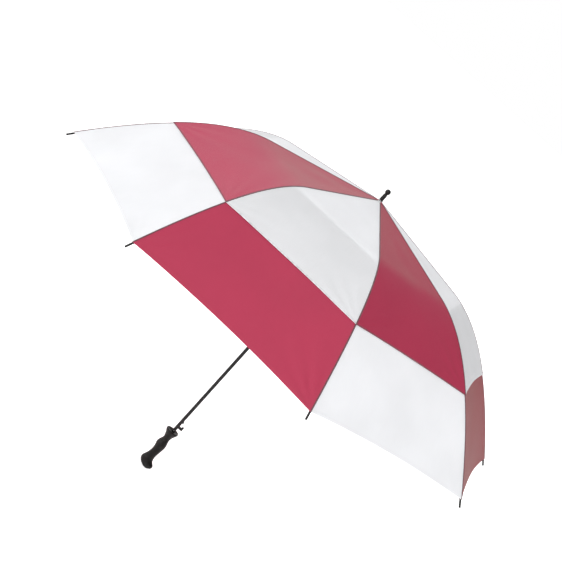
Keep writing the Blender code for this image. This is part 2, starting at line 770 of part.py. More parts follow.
def runner():
    """The sliding sleeve: a slotted crown for the stretchers and a lip for the catch."""
    top, bottom = RUNNER_LEVEL + RUNNER_ABOVE, RUNNER_LEVEL - RUNNER_BELOW
    under = RUNNER_LEVEL - RUNNER_UNDER
    profile = [
        (RUNNER_FLANGE - RUNNER_EDGE, top),
        (RUNNER_FLANGE, top - RUNNER_EDGE),
        (RUNNER_FLANGE, under),
        (RUNNER_SLEEVE + RUNNER_CONE_REACH, under - RUNNER_CONE_DROP),
        (RUNNER_SLEEVE, under - RUNNER_CONE_END),
        (RUNNER_SLEEVE, bottom + RUNNER_FOOT_EDGE),
        (RUNNER_SLEEVE - RUNNER_FOOT_EDGE, bottom),
        (RUNNER_BORE, bottom),
        (RUNNER_BORE, top),
    ]
    sleeve = turned("runner", profile, RUNNER_SIDES)
    for number in range(1, RIB_COUNT + 1):
        turn = Matrix.Rotation(rib_azimuth(number), 3, "Z")
        centre = turn @ Vector((RUNNER_CORE + RUNNER_CUT / 2, 0, RUNNER_LEVEL))
        slot = block((RUNNER_CUT, RUNNER_SLOT, RUNNER_CUT_HEIGHT), centre, turn)
        sleeve = combine(sleeve, slot, "DIFFERENCE")
    window = CATCH_TOP - CATCH_BASE + WINDOW_SPARE
    centre = (RUNNER_SLEEVE, 0, bottom + RUNNER_LIP + window / 2)
    deep = 2 * (RUNNER_SLEEVE - SHAFT_RADIUS) + WINDOW_DEPTH_SPARE
    size = (deep, TRIGGER_WIDTH + WINDOW_WIDTH_SPARE, window)
    sleeve = combine(sleeve, block(size, centre), "DIFFERENCE")
    pin = RUNNER_LEVEL - DRIVE_PIN_DROP
    centre = (-THROUGH / 4, 0, pin)
    hole = cylinder(DRIVE_PIN_RADIUS + GAP, THROUGH / 2, centre, (1, 0, 0), PIN_SIDES)
    sleeve = combine(sleeve, hole, "DIFFERENCE")
    sleeve.data.transform(Matrix.Translation((0, 0, -RUNNER_LEVEL)))
    sleeve.location.z = RUNNER_LEVEL
    shade(sleeve)
    return paint(sleeve, "moulded_black")


def drive_pin():
    """The pin that joins the runner to the spring through the tube's slot."""
    start, end = GAP - RUNNER_SLEEVE, SHAFT_BORE - DRIVE_PIN_INSET
    pin = cylinder(
        DRIVE_PIN_RADIUS,
        end - start,
        ((start + end) / 2, 0, RUNNER_LEVEL - DRIVE_PIN_DROP),
        (1, 0, 0),
        PIN_SIDES,
        "drive_pin",
        PARTS,
    )
    shade(pin)
    return paint(pin, "spring_steel")


def opening_spring():
    """The pull spring inside the tube, from the ferrule's stem to the drive pin."""
    top = FERRULE_BASE - FERRULE_STEM_LENGTH - SPRING_WIRE - GAP
    bottom = RUNNER_LEVEL - DRIVE_PIN_DROP + DRIVE_PIN_RADIUS + SPRING_WIRE + 2 * GAP
    count = SPRING_TURNS * SPRING_STEPS
    points = []
    for i in range(count + 1):
        angle = math.tau * i / SPRING_STEPS
        x, y = SPRING_COIL * math.cos(angle), SPRING_COIL * math.sin(angle)
        points.append(Vector((x, y, bottom + (top - bottom) * i / count)))
    spring = rod("opening_spring", points, SPRING_WIRE, 0)
    shade(spring, math.radians(60))
    return paint(spring, "spring_steel")


# ---- Grip and trigger ---------------------------------------------------------------------------


def grip_reach(height, column):
    """A station column's value at this height, on a smooth curve through the stations."""
    stations = GRIP_STATIONS
    i = max(k for k in range(len(stations) - 1) if stations[k][0] <= height + 1e-9)
    low, high = stations[i], stations[i + 1]
    before, after = stations[max(i - 1, 0)], stations[min(i + 2, len(stations) - 1)]
    step = high[0] - low[0]
    start = (high[column] - before[column]) / (high[0] - before[0]) * step
    end = (after[column] - low[column]) / (after[0] - low[0]) * step
    t = (height - low[0]) / step
    return (
        low[column] * (2 * t**3 - 3 * t**2 + 1)
        + start * (t**3 - 2 * t**2 + t)
        + high[column] * (3 * t**2 - 2 * t**3)
        + end * (t**3 - t**2)
    )


def grip_heights():
    heights = list(GRIP_FOOT_RINGS)
    while heights[-1] + GRIP_RING_STEP < GRIP_GUARD_RINGS[0]:
        heights.append(heights[-1] + GRIP_RING_STEP)
    return heights + list(GRIP_GUARD_RINGS)


def handle_grip():
    """The moulded grip: rings lofted from the flat end to the flared guard, bored for the tube."""
    bm = bmesh.new()
    rings = []
    for height in grip_heights():
        back, front, deep = (grip_reach(height, column) for column in (1, 2, 3))
        ring = []
        for side in range(GRIP_SIDES):
            angle = math.tau * side / GRIP_SIDES
            x, y = math.cos(angle), math.sin(angle)
            x = (front - back) / 2 + (front + back) / 2 * x
            ring.append(bm.verts.new((x, deep * y, height)))
        rings.append(ring)
    for low, high in zip(rings, rings[1:]):
        for side in range(GRIP_SIDES):
            after = (side + 1) % GRIP_SIDES
            bm.faces.new((low[side], low[after], high[after], high[side]))
    bm.faces.new(list(reversed(rings[0])))
    bm.faces.new(rings[-1])
    grip = mesh_object("handle_grip", bm)
    bore_start = SHAFT_START - GAP
    length = GRIP_TOP - bore_start + THROUGH
    centre = (0, 0, bore_start + length / 2)
    bore = cylinder(SHAFT_RADIUS + GAP, length, centre, (0, 0, 1), SHAFT_SIDES)
    grip = combine(grip, bore, "DIFFERENCE")
    shade(grip, math.radians(50))
    return paint(grip, "grip_black")


def trigger_lever():
    """The lever: an eye, a spine inside the tube, the thumb hook and the runner's catch."""
    base, top, thick = TRIGGER_HOOK_BASE, TRIGGER_HOOK_TOP, TRIGGER_HOOK_THICK
    reach, lip = TRIGGER_HOOK_REACH, TRIGGER_HOOK_REACH - TRIGGER_LIP
    outer, crest, inner = TRIGGER_CHAMFER, TRIGGER_TOP_CHAMFER, TRIGGER_INNER_CHAMFER
    turns = [math.radians(190 + 160 * i / 9) for i in range(10)]
    outline = [
        (TRIGGER_EYE * math.cos(a), TRIGGER_PIVOT + TRIGGER_EYE * math.sin(a)) for a in turns
    ]
    outline += [
        (TRIGGER_FRONT, TRIGGER_PIVOT + TRIGGER_EYE),
        (TRIGGER_FRONT, base),
        (reach - outer, base),
        (reach, base + outer),
        (reach, top - crest),
        (reach - crest, top),
        (lip + outer, top),
        (lip, top - inner),
        (lip, base + thick + inner),
        (lip - inner, base + thick),
        (TRIGGER_FRONT, base + thick),
        (TRIGGER_FRONT, CATCH_BASE),
        (CATCH_REACH, CATCH_BASE),
        (CATCH_REACH, CATCH_BASE + inner),
        (SHAFT_BORE, CATCH_TOP),
        (TRIGGER_BACK, CATCH_TOP),
        (TRIGGER_BACK, TRIGGER_PIVOT + 2 * TRIGGER_EYE),
    ]
    outline = [(x, z - TRIGGER_PIVOT) for x, z in outline]
    hole = circle(TRIGGER_PIN_RADIUS + GAP, PIN_SIDES)
    frame = plane_frame(Vector((0, 0, 0)), Vector((1, 0, 0)))
    lever = flat_piece("trigger_lever", [outline, hole], TRIGGER_WIDTH, frame, PARTS)
    lever.location.z = TRIGGER_PIVOT
    shade(lever)
    return paint(lever, "moulded_black")


def trigger_pin():
    """The pin across the tube that the lever turns on."""
    length, centre = 2 * (SHAFT_RADIUS - TRIGGER_PIN_INSET), (0, 0, TRIGGER_PIVOT)
    pin = cylinder(
        TRIGGER_PIN_RADIUS, length, centre, (0, 1, 0), PIN_SIDES, "trigger_pin", PARTS
    )
    shade(pin)
    return paint(pin, "spring_steel")


def trigger_spring():
    """The bowed leaf that presses the lever outwards from inside the tube."""
    front, back = [], []
    for i in range(LEAF_STEPS + 1):
        x = LEAF_FOOT * (1 - math.sin(math.pi * i / LEAF_STEPS))
        z = LEAF_BASE + (LEAF_TOP - LEAF_BASE) * i / LEAF_STEPS
        front.append((x, z))
        back.append((x - LEAF_THICK, z))
    frame = plane_frame(Vector((0, 0, 0)), Vector((1, 0, 0)))
    spring = flat_piece("trigger_spring", [front + back[::-1]], LEAF_WIDTH, frame, PARTS)
    shade(spring)
    return paint(spring, "spring_steel")


def build():
    shaft_tube()
    top_notch()
    notch_wire()
    ferrule()
    runner()
    drive_pin()
    opening_spring()
    handle_grip()
    trigger_lever()
    trigger_pin()
    trigger_spring()
    place_sectors()


build()
for helper in list(CUTTERS.objects):
    bpy.data.objects.remove(helper)
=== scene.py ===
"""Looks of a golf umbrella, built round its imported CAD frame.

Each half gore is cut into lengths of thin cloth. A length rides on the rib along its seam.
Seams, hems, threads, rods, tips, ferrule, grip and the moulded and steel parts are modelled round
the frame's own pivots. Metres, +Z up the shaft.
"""

import collections
import json
import math

import bmesh
import bpy
import numpy as np
from mathutils import Matrix, Vector


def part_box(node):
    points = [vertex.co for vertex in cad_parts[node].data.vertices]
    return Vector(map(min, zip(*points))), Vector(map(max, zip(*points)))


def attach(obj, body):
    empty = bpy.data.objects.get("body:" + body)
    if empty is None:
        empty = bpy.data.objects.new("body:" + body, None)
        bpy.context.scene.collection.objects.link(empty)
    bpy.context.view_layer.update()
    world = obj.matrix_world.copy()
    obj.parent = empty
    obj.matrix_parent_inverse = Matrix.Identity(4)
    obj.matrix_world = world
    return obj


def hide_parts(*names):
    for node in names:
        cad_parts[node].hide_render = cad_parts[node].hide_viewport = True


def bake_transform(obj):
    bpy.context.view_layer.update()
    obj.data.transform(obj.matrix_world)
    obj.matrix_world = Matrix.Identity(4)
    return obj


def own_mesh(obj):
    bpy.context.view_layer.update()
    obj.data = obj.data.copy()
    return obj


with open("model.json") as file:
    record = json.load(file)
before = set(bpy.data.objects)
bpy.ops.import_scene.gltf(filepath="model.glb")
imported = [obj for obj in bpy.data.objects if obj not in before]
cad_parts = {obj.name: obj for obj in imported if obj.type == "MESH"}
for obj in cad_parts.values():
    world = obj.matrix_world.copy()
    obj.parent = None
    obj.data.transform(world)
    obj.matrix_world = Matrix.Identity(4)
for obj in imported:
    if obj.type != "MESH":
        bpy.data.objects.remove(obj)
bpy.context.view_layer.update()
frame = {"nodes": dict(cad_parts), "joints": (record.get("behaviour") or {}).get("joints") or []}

# ---- Shape of the canopy, as in the CAD ----------------------------------------------------------

# An arc is a length along a rib from the crown. A drop is a distance inwards from the rib line.
# A sag or scallop is how far the middle of a gore lies below its ribs or short of their ends.
CROWN_SLOPE = math.radians(11)
EDGE_SLOPE = math.radians(52)
BEND_START = 0.292
BEND_LENGTH = 0.184
ARC_STEP = 0.0005
RIB_LENGTH = 0.762
SAG = 0.006
LOWER_DROP = 0.0015
RIB_DROP = 0.005
CROWN_ARC = 0.0056
LAP_ARC = 0.334
VENT_ARC = 0.523
HEM_ARC = 0.7498
VENT_SCALLOP = 0.006
HEM_SCALLOP = 0.0115

# ---- Cloth ---------------------------------------------------------------------------------------

CLOTH_DROP = 0.0001
CLOTH_THICK = 0.00035
# Distances between points: along the cloth, along a folded edge, and across the cloth
ROW_STEP = 0.0055
EDGE_STEP = 0.0011
COLUMN_STEP = 0.0075
# The upper gores are cut at these arcs. The last cut is over the rib's flex joint.
FLEX_SPLIT = 0.3285
CROWN_SPLITS = (0.0095, 0.028, 0.055, 0.095, 0.165, FLEX_SPLIT)
CROWN_NAMES = ("crown", "collar", "shoulder", "slope", "spread")
# The cloth reaches this far under the next length, past the cut at the flex joint
TONGUE = 0.015
TONGUE_DROP = 0.0005
TONGUE_STEP = 0.0004
# Heights of the creases, and how fast they rise from the seams and fade away from them
PUCKER = 0.00028
PUCKER_RISE = 0.004
PUCKER_FADE = 0.011
PUCKER_PITCH = 0.0125
FOLD = 0.0011
FOLD_RISE = 0.05
FOLD_FADE = 0.075
BILLOW = 0.0005
BILLOW_RISE = 0.2

# ---- Hem, binding and the rosette at the crown ---------------------------------------------------

HEM_WIDTH = 0.0075
HEM_LIFT = 0.00022
HEM_MARGIN = 0.001
BINDING_WIDTH = 0.0034
BINDING_LIFT = 0.00035
EDGE_ROUND = 0.0006
EDGE_THINNING = 0.7
BAND_SLOPE = 0.0008
GROOVE_WIDTH = 0.0005
GROOVE_DEPTH = 0.5
CAP_RADIUS = 0.0135
CAP_INNER = 0.0050
CAP_EDGE = 0.001
CAP_RINGS = 8
CAP_RISE = 0.0006
# Sides of the round rosette in each gore's sector
CAP_SIDES = 10

# ---- Seams and threads ---------------------------------------------------------------------------

SEAM_WIDTH = 0.0036
SEAM_RISE = 0.0007
SEAM_GAP = 0.0001
SEAM_MARGIN = 0.001
SEAM_STEP = 0.003
# A seam's section: shares of its half width and of its rise
SEAM_SECTION = (
    (-1, 0.0), (-0.86, 0.75), (-0.45, 0.9), (-0.12, 1.0),
    (0.12, 1.0), (0.45, 0.9), (0.86, 0.75), (1, 0.0),
)
# Where a seam's stitches lie: shares of its half width and of its rise
SEAM_STITCH = (0.62, 0.92)
STITCH_PITCH = 0.0032
STITCH_LENGTH = 0.0024
STITCH_RADIUS = 0.00017
STITCH_WIDEN = 1.3
STITCH_INSET = 0.0011
# How far along a line of stitches the next point is taken, to find its direction
STITCH_AHEAD = 0.001
HEM_STITCH_SHARES = (0.004, 0.4995)
HEM_STITCH_RISE = 0.6
THREAD_RADIUS = 0.00024
THREAD_SIDES = 6
TIE_PITCH = 0.0005
TIE_STEPS = 14
# Threads that tie the cloth to the ribs: arc, turns, and reach above and below the rib line
INNER_TIES = ((0.10, 4, 0.0042, 0.0028), (0.21, 4, 0.0042, 0.0028))
OUTER_TIES = (
    (0.45, 4, 0.0030, 0.0023),
    (0.60, 4, 0.0030, 0.0023),
    (HEM_ARC - 0.0030, 5, 0.0030, 0.0027),
)

# ---- Frame ---------------------------------------------------------------------------------------

TURNED_SIDES = 56
FERRULE_BALL = 0.0069
FERRULE_SINK = 0.0007
BALL_RINGS = 20
BALL_END = math.radians(58)
POLE_RADIUS = 0.00002
STEM_RADIUS = 0.0030
STEM_CHAMFER = 0.0006
# Radius, and depth below the ball's centre
FERRULE_NECK = ((0.0042, 0.0064), (0.0044, 0.0078), (0.0048, 0.0094), (0.0050, 0.0112))
# Radius, and height above the ferrule's seat
FERRULE_FOOT = ((0.0051, 0.0060), (0.0052, 0.0034), (0.0050, 0.0028), (STEM_RADIUS, 0.0027))
# The crown washer's closed outline, in the same terms
WASHER = (
    (0.0031, 0.0012), (0.0062, 0.0012), (0.0066, 0.0015), (0.0067, 0.0019),
    (0.0065, 0.0024), (0.0061, 0.0026), (0.0031, 0.0026),
)
SPRING_WIRE = 0.00045
SPRING_TURNS = 46
SPRING_STEPS = 20
SPRING_SIDES = 8
RIB_BEVEL = 0.00012
ROD_RADIUS = 0.0019
ROD_SIDES = 14
ROD_START = 0.004
ROD_SHORT = 0.004
ROD_STEP = 0.006
TIP_RADIUS = 0.0024
TIP_SIDES = 20
TIP_LENGTH = 0.022
TIP_BEYOND = 0.006
# Distance from the tip cap's inner end, and share of TIP_RADIUS
TIP_SHAPE = (
    (0.0000, 0.86), (0.0004, 0.97), (0.0016, 1.0), (0.0040, 1.0), (0.0043, 0.90),
    (0.0056, 0.90), (0.0059, 1.0), (0.0140, 0.96), (0.0185, 0.95), (0.0190, 1.0),
    (0.0205, 1.0), (0.0215, 0.86), (0.0219, 0.55), (TIP_LENGTH, 0.18),
)
STRAP_GORE = 2
# Node, material, bevel and body of each part that is a finer copy of its CAD node
COPIES = (
    ("shaft_tube", "shaft", 0.0, "frame"),
    ("top_notch", "moulded", 0.0002, "frame"),
    ("notch_wire", "wire", 0.0, "frame"),
    ("trigger_pin", "wire", 0.0001, "frame"),
    ("runner", "moulded", 0.00025, "runner"),
    ("drive_pin", "wire", 0.0001, "runner"),
    ("trigger_lever", "moulded", 0.0003, "trigger"),
)

JOINTS = {joint["name"]: joint for joint in frame["joints"]}
RIB_COUNT = sum(name.startswith("rib_hinge") for name in JOINTS)
SECTOR = math.tau / RIB_COUNT
CROWN_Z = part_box("upper_gore_1")[1].z + CROWN_ARC * math.sin(CROWN_SLOPE)


def pivot(joint):
    return Vector(JOINTS[joint]["pos_m"])


def wrapped(number):
    """The rib after the last one is rib 1 again."""
    return (number - 1) % RIB_COUNT + 1


def azimuth(number):
    """Where rib number lies about the shaft. Rib 9 is rib 1 again, a full turn on."""
    first = pivot("rib_flex_1")
    return math.atan2(first.y, first.x) + SECTOR * (number - 1)


def slope(arc):
    """The rib line's slope below the horizontal at this arc length from the crown."""
    past = np.maximum(arc - BEND_START, 0)
    return EDGE_SLOPE - (EDGE_SLOPE - CROWN_SLOPE) * np.exp(-past / BEND_LENGTH)


ARCS = np.arange(0, RIB_LENGTH + 0.03, ARC_STEP)
MIDDLES = slope(ARCS[:-1] + ARC_STEP / 2)
RADII = np.concatenate([[0], np.cumsum(np.cos(MIDDLES)) * ARC_STEP])
DEPTHS = np.concatenate([[0], np.cumsum(np.sin(MIDDLES)) * ARC_STEP])


def rib_line(arc, drop):
    """(radius, height) of the rib line at these arcs, moved inwards by drop."""
    angle = slope(arc)
    radius = np.interp(arc, ARCS, RADII) - np.sin(angle) * drop
    height = CROWN_Z - np.interp(arc, ARCS, DEPTHS) - np.cos(angle) * drop
    return radius, height


def outward(arc, turn):
    """The canopy's outward normal in the vertical plane at azimuth turn."""
    angle = slope(arc)
    return np.stack(
        [np.sin(angle) * np.cos(turn), np.sin(angle) * np.sin(turn), np.cos(angle)], -1
    )


def on_rib(number, arc, drop):
    """Points of rib number's line."""
    radius, height = rib_line(arc, drop)
    turn = azimuth(number)
    return np.stack([radius * np.cos(turn), radius * np.sin(turn), height], -1)


def smooth(value):
    value = np.clip(value, 0, 1)
    return value * value * (3 - 2 * value)


def creases(arc, share, gore, edge_arc):
    """How far the cloth stands off its even surface: puckers along the seams, folds that fan out
    from the corners at edge_arc, and a slow billow. Zero along the ribs. The numbers in the sines
    only keep the waves from repeating."""
    radius, _ = rib_line(arc, 0)
    chord = 2 * radius * math.sin(SECTOR / 2)
    away = np.minimum(share, 1 - share) * chord
    side = np.where(share > 0.5, 1.9, 0.0)
    rise = smooth(away / PUCKER_RISE)
    wander = 1.7 * np.sin(arc * 41 + gore * 2.1 + side) + 0.9 * np.sin(arc * 97 + gore)
    pucker = np.sin(math.tau * arc / PUCKER_PITCH + wander)
    pucker *= PUCKER * rise * np.exp(-away / PUCKER_FADE)
    back = edge_arc - arc
    reach = np.hypot(back, away)
    fan = np.arctan2(away, np.maximum(back, 1e-6))
    fold = np.sin(fan * 13 + gore * 1.3 + side) * np.exp(-reach / FOLD_FADE)
    fold *= FOLD * rise * smooth(reach / FOLD_RISE)
    bow = 4 * share * (1 - share)
    billow = np.sin(arc * 23 + gore * 1.9) * np.sin(math.pi * share * 3 + gore * 0.7)
    billow += 0.6 * np.sin(arc * 47 + gore * 3.1 + share * 5)
    return pucker + fold + BILLOW * bow * bow * billow * smooth(arc / BILLOW_RISE)


def cloth(arc, share, gore, drop, edge_arc):
    """Points of gore number gore, share 0 at its own rib and 1 at the next one."""
    start, end = on_rib(gore, arc, drop), on_rib(gore + 1, arc, drop)
    sag = -SAG * (arc / RIB_LENGTH) * 4 * share * (1 - share)
    off = sag + creases(arc, share, gore, edge_arc)
    normal = outward(arc, azimuth(gore) + SECTOR / 2)
    return start + (end - start) * share[..., None] + normal * off[..., None]


# ---- Nodes and materials -------------------------------------------------------------------------

# A Mix node's sockets by number, because its kinds share their names
MIX_COLOURS = (6, 7)
MIX_COLOUR_RESULT = 2
MIX_NUMBERS = (2, 3)


class Shader:
    """A material's node tree, with short calls for the nodes that these materials use."""

    def __init__(self, name):
        self.material = bpy.data.materials.new(name)
        self.material.use_nodes = True
        self.tree = self.material.node_tree
        self.surface = self.tree.nodes["Principled BSDF"]
        self.output = self.tree.nodes["Material Output"]

    def link(self, source, target):
        self.tree.links.new(source, target)

    def put(self, node, socket, value):
        if isinstance(value, bpy.types.NodeSocket):
            self.link(value, node.inputs[socket])
        elif value is not None:
            node.inputs[socket].default_value = value

    def node(self, kind, **settings):
        node = self.tree.nodes.new(kind)
        for name, value in settings.items():
            setattr(node, name, value)
        return node

    def set(self, **values):
        for name, value in values.items():
            self.put(self.surface, name.replace("_", " "), value)

    def place(self, scale, uv):
        """Object coordinates, or metres along and across the cloth, times scale."""
        source = self.node("ShaderNodeTexCoord").outputs["UV" if uv else "Object"]
        mapping = self.node("ShaderNodeMapping")
        self.link(source, mapping.inputs["Vector"])
        mapping.inputs["Scale"].default_value = scale
        return mapping.outputs["Vector"]

    def noise(self, scale, detail=3.0, uv=False):
        where = self.place(scale, uv)
        node = self.node("ShaderNodeTexNoise")
        self.link(where, node.inputs["Vector"])
        node.inputs["Scale"].default_value = 1.0
        node.inputs["Detail"].default_value = detail
        return node.outputs["Fac"]

    def wave(self, scale, direction, uv=False):
        where = self.place((1, 1, 1), uv)
        node = self.node("ShaderNodeTexWave", bands_direction=direction)
        self.link(where, node.inputs["Vector"])
        node.inputs["Scale"].default_value = scale
        return node.outputs["Fac"]

    def math(self, operation, first, second):
        node = self.node("ShaderNodeMath", operation=operation)
        self.put(node, 0, first)
        self.put(node, 1, second)
        return node.outputs[0]

    def span(self, value, low, high, start=0.3, end=0.7):
        """value from start to end made low to high."""
        node = self.node("ShaderNodeMapRange")
        self.put(node, "Value", value)
        self.put(node, "From Min", start)
        self.put(node, "From Max", end)
        self.put(node, "To Min", low)
        self.put(node, "To Max", high)
        return node.outputs["Result"]

    def mix(self, share, first, second):
        node = self.node("ShaderNodeMix", data_type="RGBA")
        self.put(node, 0, share)
        for socket, colour in zip(MIX_COLOURS, (first, second)):
            self.put(node, socket, (*colour, 1) if isinstance(colour, tuple) else colour)
        return node.outputs[MIX_COLOUR_RESULT]

    def bump(self, height, distance, strength=1.0, below=None):
        node = self.node("ShaderNodeBump")
        node.inputs["Strength"].default_value = strength
        node.inputs["Distance"].default_value = distance
        self.link(height, node.inputs["Height"])
        if below is not None:
            self.link(below, node.inputs["Normal"])
        return node.outputs["Normal"]


def darker(colour, share):
    return tuple(channel * share for channel in colour)


# A wave texture of this scale has one band a metre
WAVE_METRE = 0.314
# Threads 0.56 mm apart
WEAVE_SCALE = 560


def cloth_material(name, colour, painted_sheen, see_through, gloss):
    """Plain-weave nylon: threads, slubs, soft unevenness, some light through it, and a painted
    sheen where it turns away from the eye. The painted sheen is a colour and its most share."""
    shader = Shader(name)
    broad = shader.noise((9, 9, 9), 2.0)
    slubs = shader.noise((900, 26, 1), 2.0, uv=True)
    tone = shader.mix(shader.span(broad, 0, 1), darker(colour, 0.97), darker(colour, 1.02))
    tone = shader.mix(shader.span(slubs, 0.0, 0.14), tone, darker(colour, 0.84))
    # Painted sheen: the base colour is mixed towards a paler colour where the cloth turns away from
    # the eye
    facing = shader.node("ShaderNodeLayerWeight")
    facing.inputs["Blend"].default_value = 0.5
    share = shader.span(facing.outputs["Facing"], 0.0, painted_sheen[3], 0.60, 0.95)
    tone = shader.mix(share, tone, painted_sheen[:3])
    across = shader.wave(WEAVE_SCALE, "X", uv=True)
    along = shader.wave(WEAVE_SCALE, "Y", uv=True)
    weave = shader.math("ADD", across, along)
    fine = shader.bump(weave, 0.00012, 0.35)
    crinkle = shader.noise((60, 60, 60), 4.0)
    normal = shader.bump(crinkle, 0.0022, 0.16, fine)
    shader.set(Base_Color=tone, Roughness=0.5, Normal=normal)
    shader.set(Sheen_Weight=0.03, Sheen_Roughness=0.5, Specular_IOR_Level=gloss)
    glow = shader.node("ShaderNodeBsdfTranslucent")
    shader.link(tone, glow.inputs["Color"])
    shader.link(normal, glow.inputs["Normal"])
    join = shader.node("ShaderNodeMixShader")
    join.inputs[0].default_value = see_through
    shader.link(shader.surface.outputs[0], join.inputs[1])
    shader.link(glow.outputs[0], join.inputs[2])
    shader.link(join.outputs[0], shader.output.inputs["Surface"])
    return shader.material


def tape_material(name, colour, pitch=0.0009):
    """Woven tape or binding: close ribs across it and a matt surface."""
    shader = Shader(name)
    ribs = shader.wave(WAVE_METRE / pitch, "Y", uv=True)
    mottle = shader.noise((140, 140, 140))
    tone = shader.mix(shader.span(mottle, 0, 1), darker(colour, 0.8), darker(colour, 1.2))
    shader.set(Base_Color=tone, Roughness=0.8, Sheen_Weight=0.25)
    shader.set(Normal=shader.bump(ribs, 0.0002, 0.6))
    return shader.material


def thread_material(name, colour):
    shader = Shader(name)
    twist = shader.wave(700, "DIAGONAL")
    tone = shader.mix(twist, darker(colour, 0.75), darker(colour, 1.1))
    shader.set(Base_Color=tone, Roughness=0.65, Sheen_Weight=0.3)
    return shader.material


def plastic_material(name, colour, roughness, grain, depth, gloss):
    """Moulded plastic: an even fine grain, cloudy gloss and a little dust on it."""
    shader = Shader(name)
    pores = shader.noise((grain, grain, grain))
    cloud = shader.noise((30, 30, 30))
    dust = shader.noise((75, 75, 75), 5.0)
    tone = shader.mix(shader.span(cloud, 0, 1), darker(colour, 0.8), darker(colour, 1.25))
    tone = shader.mix(shader.span(dust, 0, 0.08, 0.5, 0.75), tone, (0.16, 0.15, 0.14))
    shader.set(Base_Color=tone, Specular_IOR_Level=gloss)
    shader.set(Roughness=shader.span(cloud, roughness - 0.06, roughness + 0.08))
    shader.set(Normal=shader.bump(pores, depth, 0.5))
    return shader.material


def metal_material(name, colour, roughness, metallic, streak):
    """Drawn or enamelled metal: streaks along Z, fine scratches and uneven gloss."""
    shader = Shader(name)
    drawn = shader.noise((streak, streak, streak / 40))
    wear = shader.noise((45, 45, 45), 5.0)
    tone = shader.mix(shader.span(drawn, 0, 1), darker(colour, 0.82), darker(colour, 1.22))
    tone = shader.mix(shader.span(wear, 0, 0.25, 0.58, 0.78), tone, darker(colour, 1.9))
    shader.set(Base_Color=tone, Metallic=metallic, Specular_IOR_Level=0.25)
    shader.set(Roughness=shader.span(wear, roughness - 0.05, roughness + 0.12))
    shader.set(Normal=shader.bump(drawn, 0.0001, 0.3))
    return shader.material


RED = (0.47, 0.022, 0.076)
WHITE = (0.90, 0.91, 0.925)
MATERIALS = {
    # The third value of each cloth is its painted sheen: pale pink on the red, a faint grey on the
    # white, and its most share
    "red": cloth_material("nylon_red", RED, (0.37, 0.17, 0.145, 0.75), 0.16, 0.5),
    "white": cloth_material("nylon_white", WHITE, (0.86, 0.86, 0.87, 0.2), 0.30, 0.2),
    "seam": tape_material("seam_binding", (0.135, 0.040, 0.055)),
    "binding_red": tape_material("binding_red", (0.22, 0.030, 0.055)),
    "binding_white": tape_material("binding_white", (0.68, 0.68, 0.70)),
    "strap": tape_material("strap_webbing", (0.022, 0.021, 0.021), 0.0012),
    "thread_dark": thread_material("thread_dark", (0.10, 0.055, 0.062)),
    "thread_red": thread_material("thread_red", (0.36, 0.045, 0.075)),
    "thread_white": thread_material("thread_white", (0.72, 0.72, 0.73)),
    "moulded": plastic_material(
        "moulded_plastic", (0.013, 0.0125, 0.012), 0.40, 1500, 0.0001, 0.22
    ),
    "grip": plastic_material("grip_rubber", (0.009, 0.0086, 0.008), 0.36, 900, 0.0003, 0.14),
    "shaft": metal_material("shaft_enamel", (0.010, 0.0097, 0.0095), 0.34, 0.0, 900),
    "steel": metal_material("blackened_steel", (0.055, 0.054, 0.056), 0.38, 0.8, 700),
    "wire": metal_material("bright_steel", (0.50, 0.50, 0.51), 0.28, 1.0, 1200),
    "rod": metal_material("glass_fibre_rod", (0.013, 0.013, 0.0135), 0.36, 0.0, 1600),
}


# ---- Mesh helpers --------------------------------------------------------------------------------

# Edges of a CAD node bent by more degrees than this are rounded and shaded sharp
SHARP_EDGE = 35
# Faces of a CAD node that bend by fewer degrees than this are one flat face
FLAT_FACE = 2
WELD = 1e-6
# A direction that no tube starts along
ASIDE = (0.31, 0.17, 0.93)


class Builder:
    """Gathers points, faces, flat coordinates and materials, and makes one object of them."""

    def __init__(self):
        self.points, self.faces, self.slots, self.flat = [], [], [], []
        self.count = 0

    def add(self, points, faces, slot=0, flat=None):
        points = np.asarray(points, float).reshape(-1, 3)
        if flat is None:
            flat = points[:, [0, 2]]
        self.points.append(points)
        self.flat.append(np.asarray(flat, float).reshape(-1, 2))
        self.faces += [[i + self.count for i in face] for face in faces]
        self.slots += [slot] * len(faces) if np.isscalar(slot) else list(slot)
        self.count += len(points)

    def make(self, name, materials, sharp=40):
        mesh = bpy.data.meshes.new(name)
        mesh.from_pydata(np.concatenate(self.points).tolist(), [], self.faces)
        flat = np.concatenate(self.flat)
        corners = np.zeros(len(mesh.loops), int)
        mesh.loops.foreach_get("vertex_index", corners)
        layer = mesh.uv_layers.new(name="cloth")
        layer.data.foreach_set("uv", flat[corners].astype(np.float32).ravel())
        mesh.polygons.foreach_set("material_index", self.slots)
        bm = bmesh.new()
        bm.from_mesh(mesh)
        bmesh.ops.recalc_face_normals(bm, faces=bm.faces)
        bm.to_mesh(mesh)
        bm.free()
        return finished(name, mesh, materials, sharp)


def finished(name, mesh, materials, sharp):
    for material in materials:
        mesh.materials.append(MATERIALS[material])
    mesh.shade_smooth()
    mesh.set_sharp_from_angle(angle=math.radians(sharp))
    obj = bpy.data.objects.new(name, mesh)
    bpy.context.scene.collection.objects.link(obj)
    return obj


def grid_faces(rows, columns, around=False):
    """Quads of a grid of points, row by row, closed round its columns if around."""
    last = columns if around else columns - 1
    faces = []
    for row in range(rows - 1):
        for column in range(last):
            after = (column + 1) % columns
            low, high = row * columns, (row + 1) * columns
            faces.append([low + column, low + after, high + after, high + column])
    return faces


def ring_faces(rings, sides):
    """Faces of rings of points, each joined to the next one and the last to the first."""
    low = (rings - 1) * sides
    closing = [[low + i, low + (i + 1) % sides, (i + 1) % sides, i] for i in range(sides)]
    return grid_faces(rings, sides, around=True) + closing


def capped_faces(rings, sides):
    """Faces of rings of points, each joined to the next one, with a flat cap on both ends."""
    low = (rings - 1) * sides
    caps = [list(range(sides))[::-1], list(range(low, low + sides))]
    return grid_faces(rings, sides, around=True) + caps


